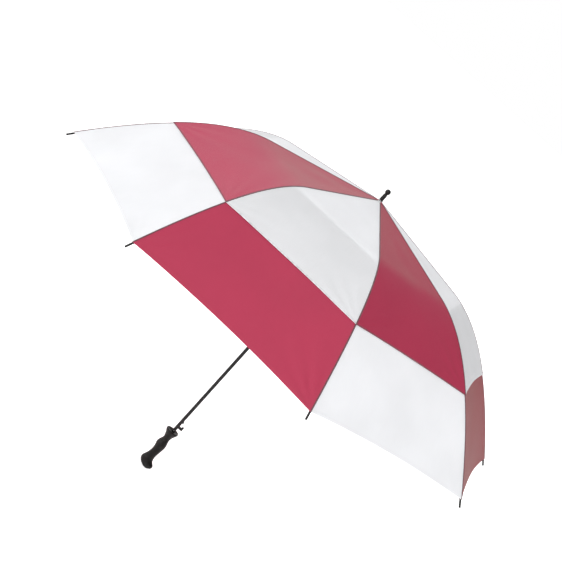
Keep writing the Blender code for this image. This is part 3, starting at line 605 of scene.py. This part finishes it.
def sheet_faces(rows, columns):
    """Quads of a closed sheet: an outer grid, an inner one after it, and the rim between them."""
    size = rows * columns
    top = grid_faces(rows, columns)
    under = [[i + size for i in reversed(face)] for face in top]
    index = np.arange(size).reshape(rows, columns)
    rim = np.concatenate([index[0], index[1:, -1], index[-1, -2::-1], index[-2:0:-1, 0]])
    rim = rim.tolist()
    side = [[a, b, b + size, a + size] for a, b in zip(rim, rim[1:] + rim[:1])]
    return top + under + side


def tube_points(points, radii, sides):
    """Rings of points about a line, each square to it."""
    points = np.asarray(points, float)
    along = np.gradient(points, axis=0)
    along /= np.linalg.norm(along, axis=1)[:, None]
    side = np.cross(along[0], ASIDE)
    rings = []
    turns = np.arange(sides) * math.tau / sides
    for point, direction, radius in zip(points, along, radii):
        side = side - direction * (side @ direction)
        side /= np.linalg.norm(side)
        other = np.cross(direction, side)
        ring = np.cos(turns)[:, None] * side + np.sin(turns)[:, None] * other
        rings.append(point + ring * radius)
    return np.array(rings)


def add_tube(builder, points, radii, sides):
    """A round rod along the points, capped at its ends."""
    rings = tube_points(points, np.broadcast_to(radii, len(points)), sides)
    builder.add(rings, capped_faces(len(rings), sides))


def add_stitches(builder, centres, along, normal, slot):
    """One lozenge of thread at each centre."""
    along = along / np.linalg.norm(along, axis=-1)[:, None]
    across = np.cross(along, normal)
    across /= np.linalg.norm(across, axis=-1)[:, None]
    up = np.cross(across, along)
    ends = along * STITCH_LENGTH / 2
    wide, high = across * STITCH_RADIUS * STITCH_WIDEN, up * STITCH_RADIUS
    points = [centres + move for move in (-ends, wide, high, -wide, -high, ends)]
    points = np.stack(points, 1)
    faces = []
    for i in range(len(centres)):
        for k in range(4):
            one, other = 1 + k, 1 + (k + 1) % 4
            faces.append([6 * i, 6 * i + one, 6 * i + other])
            faces.append([6 * i + 5, 6 * i + other, 6 * i + one])
    builder.add(points, faces, slot)


def lathe(name, profile, material, closed=False):
    """(radius, height) points turned about the shaft's axis, as a ring if closed."""
    turns = np.arange(TURNED_SIDES) * math.tau / TURNED_SIDES
    rings = [[(r * math.cos(t), r * math.sin(t), z) for t in turns] for r, z in profile]
    join = ring_faces if closed else capped_faces
    builder = Builder()
    builder.add(rings, join(len(profile), TURNED_SIDES))
    return builder.make(name, [material], 50)


def refined(node, material, bevel):
    """A smooth copy of a CAD node: welded, its flat faces whole again and its edges rounded."""
    bm = bmesh.new()
    bm.from_mesh(frame["nodes"][node].data)
    bmesh.ops.remove_doubles(bm, verts=bm.verts, dist=WELD)
    flat = math.radians(FLAT_FACE)
    bmesh.ops.dissolve_limit(bm, verts=bm.verts, edges=bm.edges, angle_limit=flat)
    mesh = bpy.data.meshes.new(node)
    bm.to_mesh(mesh)
    bm.free()
    piece = finished(f"{node}_look", mesh, [material], SHARP_EDGE)
    if bevel:
        modifier = piece.modifiers.new("edges", "BEVEL")
        modifier.width = bevel
        modifier.segments = 2
        modifier.limit_method = "ANGLE"
        modifier.angle_limit = math.radians(SHARP_EDGE)
        modifier.harden_normals = True
    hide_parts(node)
    return piece


# ---- Canopy --------------------------------------------------------------------------------------


def spaced(start, end, step):
    return np.linspace(start, end, max(2, round((end - start) / step) + 1))


Panel = collections.namedtuple("Panel", "start end scallop drop band lift")
UPPER = Panel(CROWN_ARC, VENT_ARC, VENT_SCALLOP, CLOTH_DROP, BINDING_WIDTH, BINDING_LIFT)
LOWER = Panel(LAP_ARC, HEM_ARC, HEM_SCALLOP, CLOTH_DROP + LOWER_DROP, HEM_WIDTH, HEM_LIFT)
REPLACED = {"vent_cover": "upper_gore", "lower_cloth": "lower_gore"}


def gore_colour(gore, upper):
    return "red" if (gore % 2 == 1) == upper else "white"


def gore_rows(start, end, edged):
    """Arcs of the cloth's rows, closer together at a hem or binding, with a tongue's three more."""
    rows = spaced(start, end, ROW_STEP)
    if edged:
        band = end - HEM_WIDTH - HEM_MARGIN
        plain = spaced(start, end - HEM_WIDTH - 2 * HEM_MARGIN, ROW_STEP)
        rows = np.concatenate([plain, band + spaced(0, HEM_WIDTH + HEM_MARGIN, EDGE_STEP)])
    if end == FLEX_SPLIT:
        rows = np.append(rows, [end + TONGUE_STEP, end + TONGUE / 2, end + TONGUE])
    return rows


def gore_shares(end, second):
    """Places across half a gore, from its rib to the middle of the gore or back."""
    half_width = rib_line(np.array(end), 0)[0] * math.sin(SECTOR / 2)
    shares = spaced(0, 0.5, 0.5 * COLUMN_STEP / half_width)
    return 1 - shares[::-1] if second else shares


def tongue(past, bow):
    """(arc to add, drop) of cloth this far past the cut. The tongue is longest between the ribs."""
    past = np.clip(past, 0, None)
    return np.minimum(past, TONGUE * bow) - past, TONGUE_DROP * smooth(past / TONGUE_STEP)


def edge_swell(back, panel):
    """How far the folded edge stands off the cloth, this far back, with its groove of stitches."""
    swell = smooth((panel.band + EDGE_ROUND - back) / BAND_SLOPE)
    groove = np.exp(-(((back - (panel.band - STITCH_INSET)) / GROOVE_WIDTH) ** 2)) * GROOVE_DEPTH
    tip = 1 - smooth((EDGE_ROUND - back) / EDGE_ROUND) * EDGE_THINNING
    return panel.lift * (swell - groove) * tip


def binding_slots(faces, row, end):
    """Material 1 on the faces of the binding, 0 on the rest."""
    backs = end - row.ravel()[[face[0] % row.size for face in faces]]
    return (backs <= BINDING_WIDTH + 1e-5).astype(int)


def half_gore(kind, gore, second, start, end, panel):
    """One half of a gore from one arc to another, as a closed sheet with its hem or binding."""
    edged = end == panel.end
    rows = gore_rows(start, end, edged)
    row, share = np.meshgrid(rows, gore_shares(end, second), indexing="ij")
    bow = 4 * share * (1 - share)
    arc = row - bow * panel.scallop * (row - panel.start) / (panel.end - panel.start)
    lift, sink = np.zeros_like(row), np.full_like(row, CLOTH_THICK)
    if end == FLEX_SPLIT:
        added, under = tongue(row - end, bow)
        arc += added
        lift -= under
        sink += under
    if edged:
        rise = edge_swell(end - row, panel)
        lift += rise
        sink += rise
    at = cloth(arc, share, gore, panel.drop, panel.end)
    normal = outward(arc, azimuth(gore) + SECTOR / 2)
    sides = [at + normal * lift[..., None], at - normal * sink[..., None]]
    across = (share - 0.5) * 2 * rib_line(arc, 0)[0] * math.sin(SECTOR / 2)
    flat = np.stack([across, arc], -1)
    faces = sheet_faces(*row.shape)
    bound = edged and panel is UPPER
    builder = Builder()
    builder.add(sides, faces, binding_slots(faces, row, end) if bound else 0, [flat, flat])
    if edged:
        hem_stitches(builder, gore, second, panel)
    colour = gore_colour(gore, panel is UPPER)
    name = f"{kind}_{gore}{'b' if second else 'a'}"
    return builder.make(name, [colour, f"binding_{colour}", f"thread_{colour}"])


def hem_stitches(builder, gore, second, panel):
    """The row of stitches that holds the hem or the binding, on both faces of the cloth."""
    line = panel.end - (panel.band - STITCH_INSET)
    width = rib_line(np.array(panel.end), 0)[0] * math.sin(SECTOR / 2)
    share = np.arange(*HEM_STITCH_SHARES, 0.5 * STITCH_PITCH / width)
    if second:
        share = 1 - share
    at = []
    for place in (share, share + STITCH_AHEAD):
        sag = 4 * place * (1 - place) * panel.scallop
        row = line - sag * (line - panel.start) / (panel.end - panel.start)
        at.append(cloth(row, place, gore, panel.drop, panel.end))
    normal = outward(row, azimuth(gore) + SECTOR / 2)
    lift = panel.lift * HEM_STITCH_RISE
    for sign, away in ((1, lift), (-1, CLOTH_THICK + lift)):
        add_stitches(builder, at[0] + normal * sign * away, at[1] - at[0], normal, 2)


def gore_lengths():
    """(kind, start, end, panel, outer) of each length of cloth, from the crown to the hem."""
    lengths = [
        (f"upper_{name}", start, end, UPPER, False)
        for name, start, end in zip(CROWN_NAMES, CROWN_SPLITS, CROWN_SPLITS[1:])
    ]
    lengths.append(("vent_cover", FLEX_SPLIT, VENT_ARC, UPPER, True))
    lengths.append(("lower_cloth", LAP_ARC, HEM_ARC, LOWER, True))
    return lengths


def place_half_gore(gore, second, kind, start, end, panel, outer):
    """A length of cloth that rides on the rib that it is sewn to."""
    piece = half_gore(kind, gore, second, start, end, panel)
    line = gore + second
    rib = wrapped(line)
    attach(piece, f"outer_rib_{rib}" if outer else f"inner_rib_{rib}")
    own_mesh(piece)
    if kind in REPLACED:
        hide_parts(f"{REPLACED[kind]}_{gore}")


def place_canopy():
    for gore in range(1, RIB_COUNT + 1):
        for second in (False, True):
            for length in gore_lengths():
                place_half_gore(gore, second, *length)


def crown_cap():
    """The small cloth rosette that covers the hole round the ferrule, in the gores' colours."""
    builder = Builder()
    sides = RIB_COUNT * CAP_SIDES
    radii = np.append(np.linspace(CAP_INNER, CAP_RADIUS - CAP_EDGE, CAP_RINGS), CAP_RADIUS)
    turns = azimuth(1) + np.arange(sides) * math.tau / sides
    row, turn = np.meshgrid(radii, turns, indexing="ij")
    within = ((turn - azimuth(1)) / SECTOR) % 1
    flat_in = 1 - (1 - math.cos(SECTOR / 2)) * 4 * within * (1 - within)
    height = CROWN_Z - row * flat_in * math.tan(CROWN_SLOPE) + CAP_RISE
    top = np.stack([row * np.cos(turn), row * np.sin(turn), height], -1)
    under = top - np.array([0, 0, CLOTH_THICK])
    rings = np.concatenate([top, under[::-1]])
    faces = ring_faces(len(rings), sides)
    builder.add(rings, faces, [face[0] % sides // CAP_SIDES % 2 for face in faces])
    cap = builder.make("crown_rosette", ["red", "white"])
    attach(cap, "frame")


# ---- Seams ---------------------------------------------------------------------------------------


def beside_rib(rib, arc, away, drop):
    """Points this far from a rib along the gores on its two sides, drop below the canopy line."""
    near = on_rib(rib, arc, drop)
    turn = azimuth(rib) + np.sign(away) * (math.pi + SECTOR) / 2
    chord = np.stack([np.cos(turn), np.sin(turn), np.zeros_like(turn)], -1)
    return near + chord * np.abs(away)[..., None]


def seam(name, rib, start, end, drop, body):
    """A felled seam: a low, slightly uneven double fold over the rib, stitched on each side."""
    section = np.array(SEAM_SECTION)
    half = SEAM_WIDTH / 2
    arc, away = np.meshgrid(spaced(start, end, SEAM_STEP), section[:, 0] * half, indexing="ij")
    wander = 0.00006 * np.sin(arc * 900 + rib) + 0.00005 * np.sin(arc * 2300 + away * 900)
    height = section[:, 1] * SEAM_RISE + wander
    top = beside_rib(rib, arc, away, drop) + outward(arc, azimuth(rib)) * height[..., None]
    under = beside_rib(rib, arc, away, drop + CLOTH_THICK + SEAM_GAP)
    flat = np.stack([away, arc], -1)
    builder = Builder()
    builder.add([top, under], sheet_faces(*arc.shape), 0, [flat, flat])
    aside, above = SEAM_STITCH
    along = np.arange(start + SEAM_MARGIN, end - SEAM_MARGIN, STITCH_PITCH)
    normal = outward(along, azimuth(rib))
    for side in (-1, 1):
        place = np.full_like(along, side * half * aside)
        at = beside_rib(rib, along, place, drop)
        after = beside_rib(rib, along + STITCH_AHEAD, place, drop)
        add_stitches(builder, at + normal * SEAM_RISE * above, after - at, normal, 1)
    piece = builder.make(name, ["seam", "thread_dark"], 60)
    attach(piece, body)


def place_seams():
    for rib in range(1, RIB_COUNT + 1):
        inner, outer = f"inner_rib_{rib}", f"outer_rib_{rib}"
        first = CROWN_SPLITS[0] + SEAM_MARGIN
        seam(f"upper_seam_{rib}", rib, first, FLEX_SPLIT, CLOTH_DROP, inner)
        seam(f"vent_seam_{rib}", rib, FLEX_SPLIT, VENT_ARC, CLOTH_DROP, outer)
        seam(f"lower_seam_{rib}", rib, LAP_ARC, HEM_ARC, CLOTH_DROP + LOWER_DROP, outer)


# ---- Ribs, tips and ties -------------------------------------------------------------------------


def rod(rib):
    """The glass-fibre rod, from the flex joint to just inside the tip cap's end."""
    start = pivot(f"rib_flex_{rib}").xy.length
    first = float(np.interp(start, rib_line(ARCS, RIB_DROP)[0], ARCS)) + ROD_START
    arcs = spaced(first, RIB_LENGTH - ROD_SHORT, ROD_STEP)
    builder = Builder()
    add_tube(builder, on_rib(rib, arcs, RIB_DROP), ROD_RADIUS, ROD_SIDES)
    piece = builder.make(f"rib_rod_{rib}", ["rod"])
    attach(piece, f"outer_rib_{rib}")
    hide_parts(f"rib_outer_{rib}")


def tip_cap(rib):
    """The moulded cap over the rod's end."""
    begin = RIB_LENGTH + TIP_BEYOND - TIP_LENGTH
    arcs = np.array([begin + along for along, _ in TIP_SHAPE])
    radii = np.array([TIP_RADIUS * share for _, share in TIP_SHAPE])
    builder = Builder()
    add_tube(builder, on_rib(rib, arcs, RIB_DROP), radii, TIP_SIDES)
    tip = builder.make(f"tip_cap_{rib}", ["moulded"], 50)
    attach(tip, f"outer_rib_{rib}")
    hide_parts(f"rib_tip_{rib}")


def add_tie(builder, rib, arc, turns, up, down):
    """A few turns of thread round the rib and the seam over it."""
    steps = TIE_STEPS * turns
    angle = np.arange(steps + 1) / TIE_STEPS * math.tau
    arcs = np.full(steps + 1, arc)
    centre = on_rib(rib, arcs + np.arange(steps + 1) * TIE_PITCH / TIE_STEPS, RIB_DROP)
    normal = outward(arcs, azimuth(rib))
    side = np.array([-math.sin(azimuth(rib)), math.cos(azimuth(rib)), 0])
    high = np.where(np.cos(angle) > 0, up, down) * np.cos(angle)
    path = centre + normal * high[:, None] + side * (np.sin(angle) * down)[:, None]
    add_tube(builder, path, THREAD_RADIUS, THREAD_SIDES)


def rib_ties(rib, part, ties):
    builder = Builder()
    for tie in ties:
        add_tie(builder, rib, *tie)
    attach(builder.make(f"rib_ties_{part}_{rib}", ["thread_dark"]), f"{part}_rib_{rib}")


def place_ribs():
    for rib in range(1, RIB_COUNT + 1):
        rod(rib)
        tip_cap(rib)
        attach(refined(f"rib_inner_{rib}", "steel", RIB_BEVEL), f"inner_rib_{rib}")
        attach(refined(f"stretcher_{rib}", "steel", RIB_BEVEL), f"stretcher_arm_{rib}")
        rib_ties(rib, "inner", INNER_TIES)
        rib_ties(rib, "outer", OUTER_TIES)


# ---- Shaft, ferrule, runner and trigger ----------------------------------------------------------


def ferrule():
    """The post with its ball end, turned, and the washer where it meets the cloth."""
    low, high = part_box("ferrule")
    ball = FERRULE_BALL
    centre, seat = high.z - ball, CROWN_Z - FERRULE_SINK
    profile = []
    for angle in np.linspace(math.pi / 2, -BALL_END, BALL_RINGS):
        radius = max(ball * math.cos(angle), POLE_RADIUS)
        profile.append((radius, centre + ball * math.sin(angle)))
    profile += [(radius, centre - down) for radius, down in FERRULE_NECK]
    profile += [(radius, seat + up) for radius, up in FERRULE_FOOT]
    profile += [(STEM_RADIUS, low.z + STEM_CHAMFER), (STEM_RADIUS - STEM_CHAMFER, low.z)]
    post = lathe("ferrule_post", profile[::-1], "moulded")
    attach(post, "frame")
    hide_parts("ferrule")
    washer = [(radius, seat + up) for radius, up in WASHER]
    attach(lathe("crown_washer", washer, "wire", closed=True), "frame")


def place_frame():
    ferrule()
    for node, material, bevel, body in COPIES:
        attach(refined(node, material, bevel), body)
    leaf = refined("trigger_spring", "wire", 0.0)
    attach(leaf, "frame")
    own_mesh(leaf)


def opening_spring():
    """The pull spring inside the tube, an even coil."""
    low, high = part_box("opening_spring")
    coil = high.x - SPRING_WIRE
    steps = SPRING_TURNS * SPRING_STEPS
    along = np.linspace(0, 1, steps + 1)
    turn = along * SPRING_TURNS * math.tau
    height = low.z + SPRING_WIRE + (high.z - low.z - 2 * SPRING_WIRE) * along
    points = np.stack([coil * np.cos(turn), coil * np.sin(turn), height], -1)
    builder = Builder()
    add_tube(builder, points, SPRING_WIRE, SPRING_SIDES)
    spring = builder.make("pull_spring", ["wire"], 60)
    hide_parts("opening_spring")
    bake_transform(spring)


# ---- Grip ----------------------------------------------------------------------------------------

GRIP_RINGS = 110
GRIP_SIDES = 56
# Height, reach towards -X, reach towards +X and half depth, from the flat end up
GRIP_STATIONS = (
    (0.0000, 0.0030, 0.0140, 0.0080),
    (0.0050, 0.0120, 0.0203, 0.0112),
    (0.0120, 0.0178, 0.0200, 0.0128),
    (0.0200, 0.0187, 0.0122, 0.0126),
    (0.0320, 0.0140, 0.0092, 0.0108),
    (0.0470, 0.0112, 0.0104, 0.0104),
    (0.0600, 0.0122, 0.0120, 0.0118),
    (0.0710, 0.0150, 0.0124, 0.0126),
    (0.0810, 0.0128, 0.0098, 0.0108),
    (0.0900, 0.0098, 0.0082, 0.0088),
    (0.1000, 0.0124, 0.0100, 0.0112),
    (0.1075, 0.0160, 0.0134, 0.0147),
    (0.1130, 0.0187, 0.0154, 0.0170),
    (0.1160, 0.0178, 0.0146, 0.0162),
)
# Width and height of the line along the mould's joint, and the height over which it fades in
MOULD_LINE = (0.035, 0.00022, 0.01)
GRIP_BORE = 0.0048
# The mouth round the tube: share of the wall's thickness kept, and depth below the top
GRIP_MOUTH = ((0.86, 0.0004), (0.62, 0.0011), (0.0, 0.0022), (0.0, 0.012))


def station_curve(height, column):
    """A station column at these heights, on a smooth curve through the stations."""
    table = np.array(GRIP_STATIONS)
    heights, values = table[:, 0], table[:, column]
    last = len(heights) - 1
    before = np.maximum(np.arange(last + 1) - 1, 0)
    after = np.minimum(np.arange(last + 1) + 1, last)
    tangent = (values[after] - values[before]) / (heights[after] - heights[before])
    i = np.clip(np.searchsorted(heights, height, side="right") - 1, 0, last - 1)
    step = heights[i + 1] - heights[i]
    t = (height - heights[i]) / step
    return (
        values[i] * (2 * t**3 - 3 * t**2 + 1)
        + tangent[i] * step * (t**3 - 2 * t**2 + t)
        + values[i + 1] * (3 * t**2 - 2 * t**3)
        + tangent[i + 1] * step * (t**3 - t**2)
    )


def grip():
    """The moulded grip: a fine loft with its mould line, and a rounded mouth round the tube."""
    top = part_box("handle_grip")[1].z
    height = top * (1 - np.cos(np.linspace(0, math.pi, GRIP_RINGS))) / 2
    back, front, deep = (station_curve(height, column) for column in (1, 2, 3))
    turns = np.arange(GRIP_SIDES) * math.tau / GRIP_SIDES
    x = (front - back)[:, None] / 2 + (front + back)[:, None] / 2 * np.cos(turns)
    y = deep[:, None] * np.sin(turns)
    width, rise, fade = MOULD_LINE
    line = np.exp(-((np.sin(turns) / width) ** 2)) * rise
    x = x + np.sign(np.cos(turns)) * line * smooth(height / fade)[:, None]
    rings = np.stack([x, y, np.broadcast_to(height[:, None], x.shape)], -1)
    bore = np.stack([GRIP_BORE * np.cos(turns), GRIP_BORE * np.sin(turns)], -1)
    mouth = []
    for wall, depth in GRIP_MOUTH:
        ring = rings[-1].copy()
        ring[:, :2] = bore + (ring[:, :2] - bore) * wall
        ring[:, 2] = top - depth
        mouth.append(ring)
    rings = np.concatenate([rings, mouth])
    builder = Builder()
    builder.add(rings, capped_faces(len(rings), GRIP_SIDES))
    piece = builder.make("grip_body", ["grip"], 60)
    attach(piece, "frame")
    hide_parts("handle_grip")


# ---- Tie strap -----------------------------------------------------------------------------------


def tie_strap():
    """The strap that closes the folded umbrella, hanging inside its gore."""
    strap = refined("tie_strap", "strap", 0.0001)
    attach(strap, f"outer_rib_{STRAP_GORE}")
    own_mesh(strap)


# ---- Stage ---------------------------------------------------------------------------------------

# The camera looks along +Y and a little down, rolled about its line of sight
CAMERA_LENS = 95.9
CAMERA_DOWN = 11.72
CAMERA_ROLL = 41.78
CAMERA_PLACE = (-0.048, -3.476, 1.293)
SENSOR_WIDTH = 36
KEY_PLACE = (-1.6, -3.8, 2.4)
KEY_AIM = (0, 0, 0.7)
KEY_SIZE = 1.6
KEY_POWER = 26
FLOOR_REACH = 60.0
FLOOR_DROP = 0.0006
# The surround's strength as light, in reflections and as backdrop: from X, to X, and at each
SURROUND = (-1, 1, 0.95, 0.95)
GLOSS = (-0.4, 0.3, 2.1, 0.05)
SEEN = (-1, 1, 1, 1)


def floor():
    """A wide pale floor just below the part."""
    mesh = bpy.data.meshes.new("floor")
    signs = ((-1, -1), (1, -1), (1, 1), (-1, 1))
    corners = [(x * FLOOR_REACH, y * FLOOR_REACH, -FLOOR_DROP) for x, y in signs]
    mesh.from_pydata(corners, [], [(0, 1, 2, 3)])
    obj = bpy.data.objects.new("floor", mesh)
    bpy.context.scene.collection.objects.link(obj)
    shader = Shader("pale_floor")
    grain = shader.noise((3, 3, 3), 2.0)
    shader.set(Base_Color=shader.mix(grain, (0.86, 0.86, 0.86), (0.90, 0.90, 0.90)))
    shader.set(Roughness=0.9, Emission_Color=(1, 1, 1, 1), Emission_Strength=0.7)
    mesh.materials.append(shader.material)


def lamp(name, place, aim, size, power):
    data = bpy.data.lights.new(name, "AREA")
    data.shape = "DISK"
    data.size = size
    data.energy = power
    obj = bpy.data.objects.new(name, data)
    obj.location = place
    obj.rotation_mode = "QUATERNION"
    obj.rotation_quaternion = (Vector(aim) - Vector(place)).to_track_quat("-Z", "Y")
    bpy.context.scene.collection.objects.link(obj)


def studio():
    """A white surround with its own strength for each kind of ray, and one large soft lamp in
    front, to the left and above."""
    world = bpy.data.worlds.new("studio")
    world.use_nodes = True
    nodes, links = world.node_tree.nodes, world.node_tree.links
    background = nodes["Background"]
    background.inputs["Color"].default_value = (1, 1, 1, 1)
    where = nodes.new("ShaderNodeTexCoord")
    parts = nodes.new("ShaderNodeSeparateXYZ")
    links.new(where.outputs["Generated"], parts.inputs[0])
    path = nodes.new("ShaderNodeLightPath")
    strength = None
    for ray, spread in ((None, SURROUND), ("Is Glossy Ray", GLOSS), ("Is Camera Ray", SEEN)):
        level = nodes.new("ShaderNodeMapRange")
        for socket, value in zip(("From Min", "From Max", "To Min", "To Max"), spread):
            level.inputs[socket].default_value = value
        links.new(parts.outputs["X"], level.inputs["Value"])
        result = level.outputs["Result"]
        if ray:
            choice = nodes.new("ShaderNodeMix")
            links.new(path.outputs[ray], choice.inputs[0])
            for socket, source in zip(MIX_NUMBERS, (strength, result)):
                links.new(source, choice.inputs[socket])
            result = choice.outputs[0]
        strength = result
    links.new(strength, background.inputs["Strength"])
    bpy.context.scene.world = world
    lamp("key", KEY_PLACE, KEY_AIM, KEY_SIZE, KEY_POWER)
    bpy.context.scene.view_settings.view_transform = "Standard"
    bpy.context.scene.view_settings.look = "None"


def camera():
    """The camera sees the umbrella leaning, so it is rolled about its own line of sight."""
    data = bpy.data.cameras.new("camera")
    data.lens = CAMERA_LENS
    data.sensor_width = SENSOR_WIDTH
    obj = bpy.data.objects.new("camera", data)
    level = Matrix.Rotation(math.radians(90 - CAMERA_DOWN), 4, "X")
    roll = Matrix.Rotation(math.radians(CAMERA_ROLL), 4, "Z")
    obj.matrix_world = Matrix.Translation(CAMERA_PLACE) @ level @ roll
    bpy.context.scene.collection.objects.link(obj)
    bpy.context.scene.camera = obj


place_canopy()
crown_cap()
place_seams()
place_ribs()
place_frame()
opening_spring()
grip()
tie_strap()
floor()
studio()
camera()
